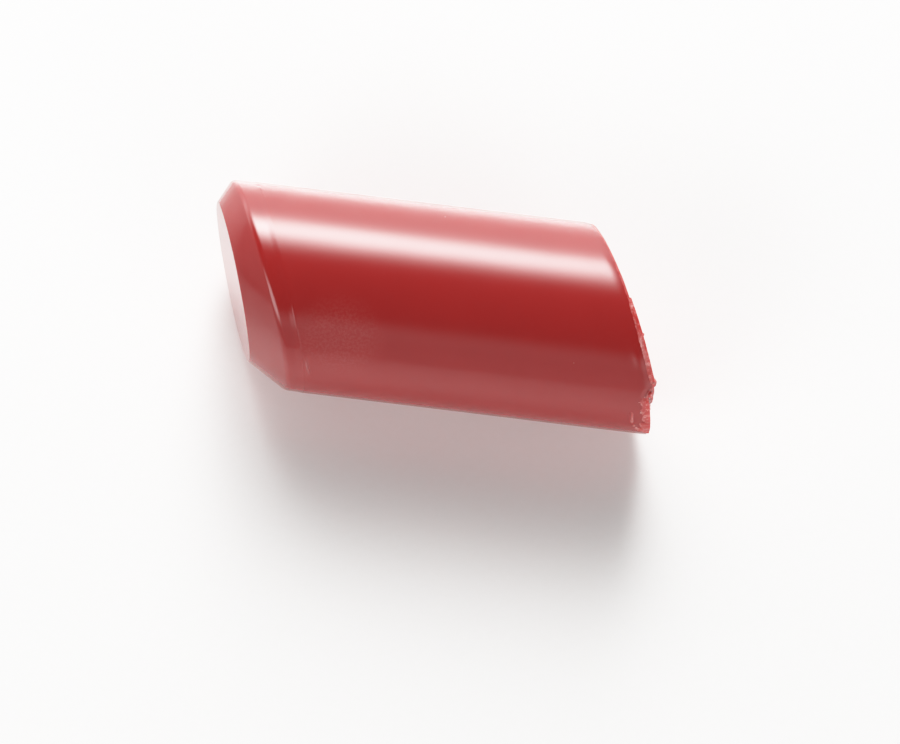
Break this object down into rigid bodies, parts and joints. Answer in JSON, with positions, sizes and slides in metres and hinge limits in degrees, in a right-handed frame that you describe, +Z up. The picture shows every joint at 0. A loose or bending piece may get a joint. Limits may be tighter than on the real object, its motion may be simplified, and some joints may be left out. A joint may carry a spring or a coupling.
{
  "type": "lipstick bullet",
  "caption": "Round wax lipstick bullet with a slanted, bevelled tip and a mould seam, cut off at its base and torn along one edge, lying on its side.",
  "frame": {"origin": "middle of the flattened strip on the underside of the barrel, which is what the bullet rests on", "axes": "+X along the bullet from the moulded tip to the cut end, +Y to the side where the slanted tip reaches furthest, +Z up"},
  "size_m": [0.0271, 0.012, 0.0121],
  "materials": {
    "wax": "glossy moulded lipstick wax",
    "torn_wax": "torn lipstick wax, paler and rougher than the moulded skin"
  },
  "bodies": {
    "root": {"bullet": "wax", "peeled_lip": "torn_wax", "torn_flap": "torn_wax", "edge_flake": "torn_wax", "crumbs": "torn_wax"}
  },
  "joints": []
}
